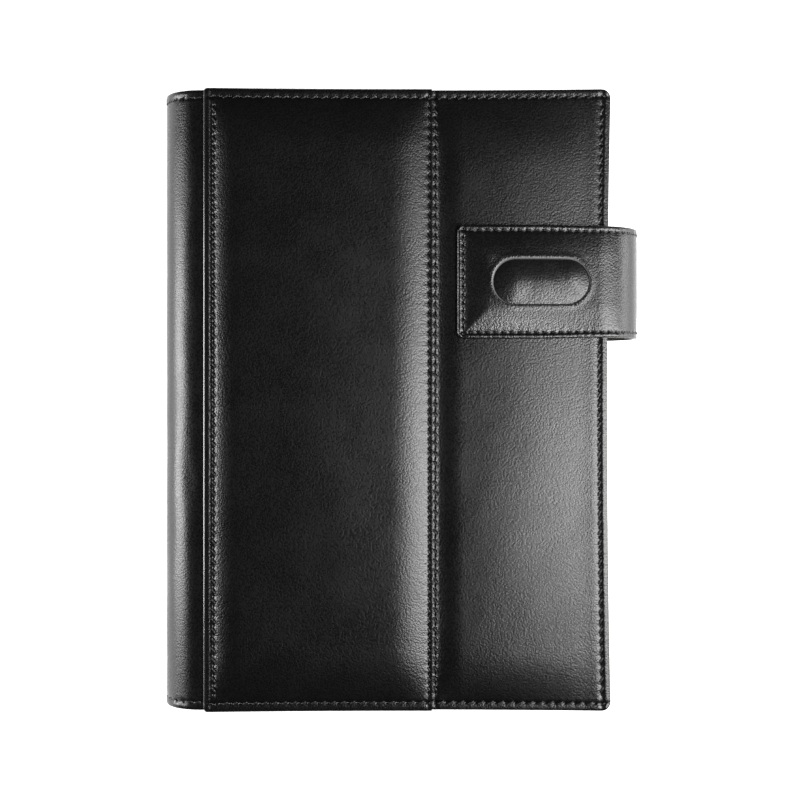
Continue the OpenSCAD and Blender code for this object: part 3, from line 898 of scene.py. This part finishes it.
def window_distance(u, v):
    """Distance outside the window's outline, in the strap's flat space."""
    du = np.maximum(np.abs(u - WINDOW_U) - (WINDOW_L - WINDOW_W) / 2, 0)
    return np.hypot(du, v) - (WINDOW_W / 2 - 0.05 * MM)


def tab_rise(u):
    """How far the tab's padding has thinned out towards the fold, from 1 on the tab to nearly 0."""
    return 0.05 + 0.95 * rise(u - (QUARTER - 16 * MM), 58 * MM)


def strap_pad(u, v):
    """The tab's padding, with hips that run in from the tip's corners to the window."""
    d = soft_min(ROW_W - np.abs(v), ROW_TIP_U - u, 0.8 * MM)
    t = np.clip(d / PAD_RUN, 0, 1)
    return TAB_PAD * (1 - (1 - t) ** 1.5) * tab_rise(u)


def strap_top(u, v):
    """Outer face of the strap: padding, stitch rows, a lip round its edge and round the window."""
    d_v, d_tip = ROW_W - np.abs(v), ROW_TIP_U - u
    lip = 0.32 * MM * bump(np.minimum(d_v, d_tip) + 1.15 * MM, 0.55 * MM)
    z = strap_pad(u, v) + lip * (0.2 + 0.8 * tab_rise(u))
    z = z + row_dent(d_v, u, STRAP_PITCH, HOLE_U, 0.06 * MM)
    z = z + row_dent(d_tip, v, STRAP_PITCH, STRAP_PITCH / 2)
    z = z + 0.16 * MM * bump(window_distance(u, v) - 0.5 * MM, 0.9 * MM)
    inner = np.clip(np.minimum(d_v, d_tip) / (5 * MM), 0, 1)
    return z + inner * wavelets(u, v, 9 * MM, 0.08 * MM, 6.0)


def anchor_top(u, v):
    """The same for the lower third, which thins out to nothing before it is sewn in."""
    return strap_top(u, v) * np.clip((u + QUARTER + 3 * MM) / (6 * MM), 0, 1)


def strap_detail_distance(u, v):
    d_v = np.abs(ROW_W - np.abs(v))
    d_tip = np.where(np.abs(v) < ROW_W + 1 * MM, np.abs(ROW_TIP_U - u), 1.0)
    return np.minimum(np.minimum(d_v, d_tip), np.abs(window_distance(u, v)))


def strap_point(degrees):
    x, _, z = arc_point(STRAP_X, STRAP_Z, STRAP_R, 1, degrees)
    return (x, STRAP_Y, z)


def strap_bend(verts):
    """Takes the flat strap round the fore-edge, where it's drawn a little narrower."""
    drawn = 1 - 0.022 * rise(QUARTER + 22 * MM - verts[:, 0], 22 * MM)
    verts = bend_path(verts, STRAP_X, STRAP_Z, STRAP_R, 1)
    verts[:, 1] = verts[:, 1] * drawn + STRAP_Y
    return verts


def strap_piece(part):
    """Leather and lining of one third, with the anchor or the tab that runs on from it."""
    u0, u1 = part.reach(STRAP_R)
    sides, corners, hole = "bt", (), None
    if part.word == "lower":
        u0 -= ANCHOR_L
    if part.word == "tab":
        u1, sides, corners, hole = TIP_U, "rbt", ("rb", "rt"), window_distance
    verts, faces = slab(steps(u0, u1, STRAP_STEP), steps(-HALF_W, HALF_W, STRAP_STEP),
                        flat(-STRAP_LEATHER_T), STRAP_ROLL, sides, corner_r=2.6 * MM,
                        corners=corners, foot=0.25 * MM, hole=hole)
    verts, faces = refine(verts, faces, strap_detail_distance, 1.2 * MM, 2)
    cut = window_distance(verts[:, 0], verts[:, 1]) < 1e-6
    cut &= np.abs(verts[:, 2] + STRAP_LEATHER_T) > 1e-6
    top = anchor_top if part.word == "lower" else strap_top
    verts = raise_top(verts, top, STRAP_ROLL, cut if hole else None)
    leather = make_object(f"strap_leather_{part.word}_skin", strap_bend(verts), faces, LEATHER)
    # The window's rim faces get the cut edge's lighter grey: partly cut leather's own colour, partly a
    # painted highlight.
    if hole:
        paint(leather, CUT_EDGE_AND_PAINTED_HIGHLIGHT, cut)
    inset = 0.7 * MM
    us = steps(u0, u1 - inset if part.word == "tab" else u1, 1.2 * MM)
    vs = steps(-HALF_W + inset, HALF_W - inset, 1.2 * MM)
    verts, faces = slab(us, vs, flat(-STRAP_LINING_T), 0.2 * MM, sides, corner_r=2.2 * MM,
                        corners=corners)
    verts[:, 2] -= STRAP_LEATHER_T
    lining = make_object(f"strap_lining_{part.word}_skin", strap_bend(verts), faces, SUEDE)
    part.bend(leather, "leather", strap_point)
    part.bend(lining, "lining", strap_point)


def strap_rows(part):
    """Rows along both edges of the strap over one third, and across its tip."""
    u0, u1 = part.reach(STRAP_R)
    if part.word == "lower":
        u0 -= 1 * MM
    if part.word == "tab":
        u1 = TIP_U
    spots = [(u, side * ROW_W, 1, 0) for u in ROW_U_AT if u0 <= u < u1 for side in (-1, 1)]
    if part.word == "tab":
        spots += [(ROW_TIP_U, v, 0, 1) for v in ROW_V_AT]
    u, v, along_u, along_v = np.array(spots, float).T
    depth = np.full(len(u), -0.15 * MM)
    hair = 0.1 * MM
    points = strap_bend(np.stack([u, v, depth], 1))
    ahead = strap_bend(np.stack([u + hair * along_u, v + hair * along_v, depth], 1))
    above = strap_bend(np.stack([u, v, depth + hair], 1))
    obj = stitches(f"strap_row_{part.word}", points, ahead - points, above - points,
                   2.3 * MM, 0.60 * MM, slant=-20)
    part.bend(obj, "thread", strap_point)


for part in STRAP_PARTS:
    strap_piece(part)
for part in STRAP_PARTS:
    strap_rows(part)


# The insert: how far it bulges, lies below the strap's leather, leans, is creased, and its gap
INSERT_PUFF = 1.45 * MM
INSERT_SUNK = 0.36 * MM
INSERT_TILT = 0.28 * MM
INSERT_CREASE = 0.22 * MM
INSERT_GAP = 0.35 * MM


def window_insert():
    """The puffed leather that shows in the window: a stadium dome with a soft crease at one end."""
    rings, around = ((34, 160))
    half = (WINDOW_L - WINDOW_W) / 2
    r_out = WINDOW_W / 2 - INSERT_GAP
    ring = np.arange(around)
    angles = 2 * math.pi * ring / around
    reach = r_out + half
    verts = []
    for i in range(rings + 1):
        s = i / rings
        x = reach * s * np.cos(angles)
        y = reach * s * np.sin(angles)
        core = np.clip(x, -half * s, half * s)
        length = np.maximum(np.hypot(x - core, y), 1e-9)
        x = core + (x - core) / length * r_out * s
        y = y / length * r_out * s
        verts.append(np.stack([x, y], 1))
    u, v = np.concatenate(verts).T
    d_in = r_out - np.hypot(np.maximum(np.abs(u) - half, 0), v)
    d_in = np.maximum(d_in, 0)
    inner = np.clip(d_in / (3 * MM), 0, 1)
    crease = bump(u - 8 * MM + 0.8 * v, 2.2 * MM) * bump(v + 2 * MM, 5 * MM) * inner
    low_side = INSERT_TILT * (v / r_out - u / reach) * (1 - 0.6 * np.clip(d_in / r_out, 0, 1))
    base = STRAP_Z + STRAP_R - INSERT_SUNK + TAB_PAD * tab_rise(WINDOW_U - u)
    z = base + INSERT_PUFF * (1 - (1 - d_in / r_out) ** 1.7) - INSERT_CREASE * crease - low_side
    z = z + wavelets(u, v, 7 * MM, 0.16 * MM, 8.0) * inner
    verts = np.stack([WINDOW_X + u, STRAP_Y + v, z], 1)
    faces = []
    for i in range(rings):
        faces += bridge(ring + i * around, ring + (i + 1) * around)
    count = len(verts)
    rim = verts[-around:].copy()
    rim[:, 2] = tab_lining_high.z + 0.6 * MM
    verts = np.concatenate([verts, rim])
    faces += bridge(ring + count - around, ring + count)
    faces.append((ring[::-1] + count).tolist())
    obj = make_object("window_insert_leather", verts, faces, INSERT_LEATHER, smooth=False)
    work = bmesh.new()
    work.from_mesh(obj.data)
    bmesh.ops.remove_doubles(work, verts=work.verts, dist=1e-7)
    work.to_mesh(obj.data)
    work.free()
    obj.data.shade_smooth()
    settle(obj, "strap_tab", "leather", "window_insert")


window_insert()

# ---------------- back


def border_distance(u, v):
    """Distance from the rows along head, tail and fore-edge."""
    return np.minimum(np.abs(ROW_Y - np.abs(v)), np.abs(ROW_EDGE_X - u))


def border_dents(u, v, groove=0.17 * MM):
    d_y, d_r = ROW_Y - np.abs(v), ROW_EDGE_X - u
    return row_dent(d_y, u, PITCH, HOLE_X, groove) + row_dent(d_r, v, PITCH, HOLE_Y, groove)


def back_top(u, v):
    """The back leather's outer face, with up away from the pages."""
    return np.minimum(border_dents(u, v), 0)


def border_points(level_at, from_x):
    """Border rows round head, tail and fore-edge, at the level of the sheet they're sewn through."""
    spots = [(x, side * ROW_Y) for side in (-1, 1) for x in HEAD_ROW_X if x > from_x]
    ways = [(1, 0, 0)] * len(spots) + [(0, 1, 0)] * len(ROW_Y_AT)
    spots += [(ROW_EDGE_X, y) for y in ROW_Y_AT]
    return np.array([(x, y, level_at(x, y)) for x, y in spots]), ways


def make_back():
    us = steps(SPINE_X + FLAT_ON_BACK, EDGE_X, 1.2 * MM)
    vs = steps(-HALF_H, HALF_H, 1.2 * MM)
    verts, faces = slab(us, vs, flat(-back_lining_low.z), ROLL, "rbt", corner_r=CORNER_R,
                        corners=("rb", "rt"), foot=0.3 * MM)
    verts, faces = refine(verts, faces, border_distance, 1.6 * MM, 3)
    verts = bow(raise_top(verts, back_top, ROLL))
    verts[:, 2] *= -1
    obj = make_object("back_leather_skin", verts, [f[::-1] for f in faces], LEATHER)
    settle(obj, "back", "leather", "back_leather")
    points, alongs = border_points(flat(0.32 * MM), LAP_X)
    rows = stitches("back_rows", bow(points), alongs, (0, 0, -1), 2.9 * MM, 0.6 * MM, sink=0.3)
    settle(rows, "back", "thread", "back_stitching")


make_back()

# ---------------- lining and pockets

SEAM_IN = 3.2 * MM
POCKET_SEAM = pocket_high.z - pocket_low.z - LINING_T
HEM = 7 * MM
HEM_ROW = 5.5 * MM
SLOT_CREASE = 2.2 * MM
SLOT_ROW = 1.6 * MM
THREAD_OUT = 0.06 * MM


def inner_relief(u, v):
    """The border rows seen from inside, and the lining's faint slackness between them."""
    inner = np.clip(np.minimum(ROW_Y - np.abs(v), ROW_EDGE_X - u) / (8 * MM), 0, 1)
    slack = inner * wavelets(u, v, 17 * MM, 0.07 * MM, 11.0)
    return np.maximum(border_dents(u, v, 0.08 * MM), -0.3 * MM) + slack


def bowed(u, low, high):
    """1 in the middle of a pocket's mouth and 0 at its ends."""
    return 1 - ((2 * u - low.x - high.x) / (high.x - low.x)) ** 2


def inner_sheet(node, material, body, relief, distance, sewn_all_round=False, seam=0.0):
    """Soft stand-in for one flat CAD sheet inside, seen from the pages' side. distance tells where
    its rows and creases are. seam is how far its sewn border reaches beyond its own thickness."""
    facing = 1 if body == "back" else -1
    low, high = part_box(node)
    thick = high.z - low.z - seam
    level = high.z if facing > 0 else low.z
    roll = min(0.25 * MM, thick * 0.45)

    def bottom(u, v):
        sewn = (u > high.x - SEAM_IN) | (np.abs(v) > high.y - SEAM_IN)
        return -thick - seam * sewn

    us = spread(low.x, high.x, 0.8 * MM, 2.4 * MM, 4 * MM)
    vs = spread(low.y, high.y, 0.8 * MM, 2.4 * MM, 4 * MM)
    sides, corners = ("lrbt", ()) if sewn_all_round else ("rbt", ("rb",))
    if not sewn_all_round and high.y > HALF_H - 11 * MM:
        corners = ("rb", "rt")
    verts, faces = slab(us, vs, bottom, roll, sides, corner_r=3 * MM, corners=corners)
    verts, faces = refine(verts, faces, distance, 2.4 * MM, 1)
    verts = raise_top(verts, relief, roll)
    verts[:, 2] = level + facing * verts[:, 2]
    if facing < 0:
        faces = [f[::-1] for f in faces]
    obj = make_object(node + "_skin", verts, faces, material)
    settle(obj, body, "leather" if material is LEATHER else "lining", node)


def slip_relief(u, v):
    """The slip pocket's turned hem, its row, and its mouth standing off a little in mid-span."""
    below = slip_high.y - v
    hem = 0.16 * MM * np.clip((HEM - below) / (0.8 * MM) + 0.5, 0, 1)
    gape = 0.30 * MM * bowed(u, slip_low, slip_high) * bump(below, 14 * MM)
    row = row_dent(below - HEM_ROW, u, PITCH, HOLE_X, 0.05 * MM)
    row = np.where(u < ROW_EDGE_X - 2 * MM, np.maximum(row, -0.2 * MM), 0)
    return hem + gape + row + inner_relief(u, v)


def hem_distance(u, v):
    return np.minimum(border_distance(u, v), np.abs(slip_high.y - v - HEM_ROW))


def slot_relief(number):
    """Relief of a card slot, and the distance from its details: a creased mouth, bowed off the
    slot behind, and the rows that hold it."""
    low, high = slot_boxes[number]

    def relief(u, v):
        below = high.y - v
        z = 0.14 * MM * bowed(u, low, high) * bump(below, 9 * MM)
        z = z - 0.12 * MM * bump(below - SLOT_CREASE, 0.5 * MM)
        from_rows = (u - low.x - SLOT_ROW, high.x - SLOT_ROW - u, v - low.y - SLOT_ROW)
        for d in from_rows:
            z = z - 0.12 * MM * bump(d, 0.7 * MM)
        inner = np.clip(np.minimum.reduce(from_rows) / (5 * MM), 0, 1)
        return z + inner * wavelets(u, v, 13 * MM, 0.05 * MM, 13.0 + number)

    def distance(u, v):
        d_side = np.minimum(np.abs(u - low.x - SLOT_ROW), np.abs(high.x - SLOT_ROW - u))
        d_end = np.minimum(np.abs(v - low.y - SLOT_ROW), np.abs(high.y - v - SLOT_CREASE))
        return np.minimum(d_side, d_end)

    return relief, distance


def inner_rows(name, body, points, alongs, *nodes):
    """Threads on the inside; points are (x, y, level)."""
    facing = 1 if body == "back" else -1
    obj = stitches(name, points, alongs, (0, 0, facing), 2.8 * MM, 0.6 * MM, 14 * facing, 0.3)
    settle(obj, body, "thread", *nodes)


def front_level(x, y):
    return (slip_low.z if y < slip_high.y else front_lining_low.z) + THREAD_OUT


def back_level(x, y):
    return (pocket_high.z if x > pocket_low.x else back_lining_high.z) - THREAD_OUT


def make_inside():
    inner_sheet("front_lining", SUEDE, "front", inner_relief, border_distance)
    inner_sheet("slip_pocket", SUEDE, "front", slip_relief, hem_distance)
    inner_sheet("back_lining", SUEDE, "back", inner_relief, border_distance)
    inner_sheet("back_pocket", SUEDE, "back", inner_relief, border_distance, seam=POCKET_SEAM)
    for number in range(3):
        relief, distance = slot_relief(number)
        inner_sheet(f"card_slot_{number + 1}", LEATHER, "front", relief, distance, True)
    inner_rows("front_inner_rows", "front", *border_points(front_level, BOARD_X + 2 * MM))
    inner_rows("back_inner_rows", "back", *border_points(back_level, BOARD_X + 2 * MM))
    xs = [x for x in HEAD_ROW_X if slip_low.x + 4 * MM < x < ROW_EDGE_X - 4 * MM]
    hem = [(x, slip_high.y - HEM_ROW, slip_low.z - 0.1 * MM) for x in xs]
    inner_rows("slip_hem_row", "front", hem, (1, 0, 0))
    low, high = slot_boxes[2]
    z = low.z + THREAD_OUT
    xs = row_positions(low.x + SLOT_ROW, high.x - SLOT_ROW, PITCH)
    ys = row_positions(low.y + SLOT_ROW + 1 * MM, high.y - 1 * MM, PITCH)
    spots = [(x, low.y + SLOT_ROW, z) for x in xs]
    spots += [(x, y, z) for x in (low.x + SLOT_ROW, high.x - SLOT_ROW) for y in ys]
    ways = [(1, 0, 0)] * len(xs) + [(0, 1, 0)] * (2 * len(ys))
    inner_rows("card_slot_rows", "front", spots, ways, "card_slot_stitching")


make_inside()

# ---------------- notebook

LEAVES = 72
LEAF_FILL = 0.86
LEAF_JITTER = 0.05 * MM
LEAF_CORNER_R = 5 * MM


def page_block():
    """A stack of separate leaves, each a hair out of line with its neighbours."""
    low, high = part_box("page_block")
    rng = np.random.default_rng(4)
    verts, faces = [], []
    lift = (high.z - low.z) / LEAVES
    r = LEAF_CORNER_R
    turns = np.radians(np.linspace(0, 90, 6))
    for i in range(LEAVES):
        a, b = low.z + i * lift, low.z + (i + LEAF_FILL) * lift
        jig = rng.normal(0, LEAF_JITTER, 3)
        x1 = high.x - abs(jig[0]) - 0.15 * MM
        if b < pocket_high.z + 0.05 * MM:
            x1 = pocket_low.x - 1.2 * MM
        y0, y1 = low.y + abs(jig[1]), high.y - abs(jig[2])
        outline = [(low.x, y0)]
        for cy, s in ((y0 + r, -1), (y1 - r, 1)):
            arc = [(x1 - r + r * math.sin(t), cy + s * r * math.cos(t)) for t in turns]
            outline += arc if s < 0 else arc[::-1]
        outline.append((low.x, y1))
        n, base = len(outline), len(verts)
        verts += [(x, y, z) for z in (a, b) for x, y in outline]
        faces.append(tuple(range(base + n - 1, base - 1, -1)))
        faces.append(tuple(range(base + n, base + 2 * n)))
        faces += bridge(base + n + np.arange(n), base + np.arange(n))
    obj = make_object("page_leaves", verts, faces, PAPER, smooth=False)
    settle(obj, "back", "pages", "page_block")


page_block()

# ---------------- CAD nodes that stay

STAY = {BOARD: ("back_board", "front_board"), METAL: ("cover_magnet", "strap_magnet"),
        CARD: ("notebook_back_card", "notebook_front_card", "notebook_spine_card")}
for material, nodes in STAY.items():
    for node in nodes:
        mesh = frame["nodes"][node].data
        mesh.materials.clear()
        mesh.materials.append(material)

# ---------------- stage, lights, camera


def area(name, position, aim, width, height, power):
    light = bpy.data.lights.new(name, "AREA")
    light.energy = power
    light.shape = "RECTANGLE"
    light.size = width
    light.size_y = height
    obj = bpy.data.objects.new(name, light)
    obj.location = position
    obj.rotation_euler = (Vector(aim) - Vector(position)).to_track_quat("-Z", "Y").to_euler()
    SCENE.collection.objects.link(obj)
    return light


FLOOR_HALF = 3.0
FLOOR_Z = -0.3 * MM
FLOOR_GLOW = 0.8
ROOM_GLOW = 0.025


def floor():
    verts = [(x * FLOOR_HALF, y * FLOOR_HALF, FLOOR_Z) for x, y in ((-1, -1), (1, -1), (1, 1), (-1, 1))]
    mat, _, shader = new_material("pale_floor", (0.9, 0.9, 0.9), 0.7, 0.2)
    shader.inputs["Emission Color"].default_value = (1, 1, 1, 1)
    shader.inputs["Emission Strength"].default_value = FLOOR_GLOW
    make_object("floor", verts, [(0, 1, 2, 3)], mat, smooth=False)


def soft_room():
    world = bpy.data.worlds.new("soft_room")
    SCENE.world = world
    world.use_nodes = True
    background = world.node_tree.nodes["Background"]
    background.inputs["Color"].default_value = (1, 1, 1, 1)
    background.inputs["Strength"].default_value = ROOM_GLOW


floor()
soft_room()
SCENE.view_settings.view_transform = "Standard"

area("right_window", (0.54, -0.080, 0.60), (0, 0, 0.03), 0.31, 0.74, 10.6)
area("right_low", (0.80, 0, 0.12), (0, 0, 0.04), 0.5, 0.22, 3)
area("left_low", (-0.95, -0.01, 0.28), (0, 0, 0.02), 0.38, 0.58, 10)
# A small light with a grid before it, so that it reaches the strap's tab and nothing else
strap_fill = area("strap_fill", (0.15, -0.15, 0.38), (0.055, 0.040, 0.035), 0.10, 0.10, 0.038)
strap_fill.spread = math.radians(30)

CAMERA_X = -0.4 * MM
CAMERA_HEIGHT = 0.480
camera_data = bpy.data.cameras.new("camera")
camera_data.sensor_width = 36
camera_data.lens = 60.5
camera = bpy.data.objects.new("camera", camera_data)
camera.location = (CAMERA_X, 0, PLATE_TOP + CAMERA_HEIGHT)
camera.rotation_euler = (0, 0, 0)
SCENE.collection.objects.link(camera)
SCENE.camera = camera
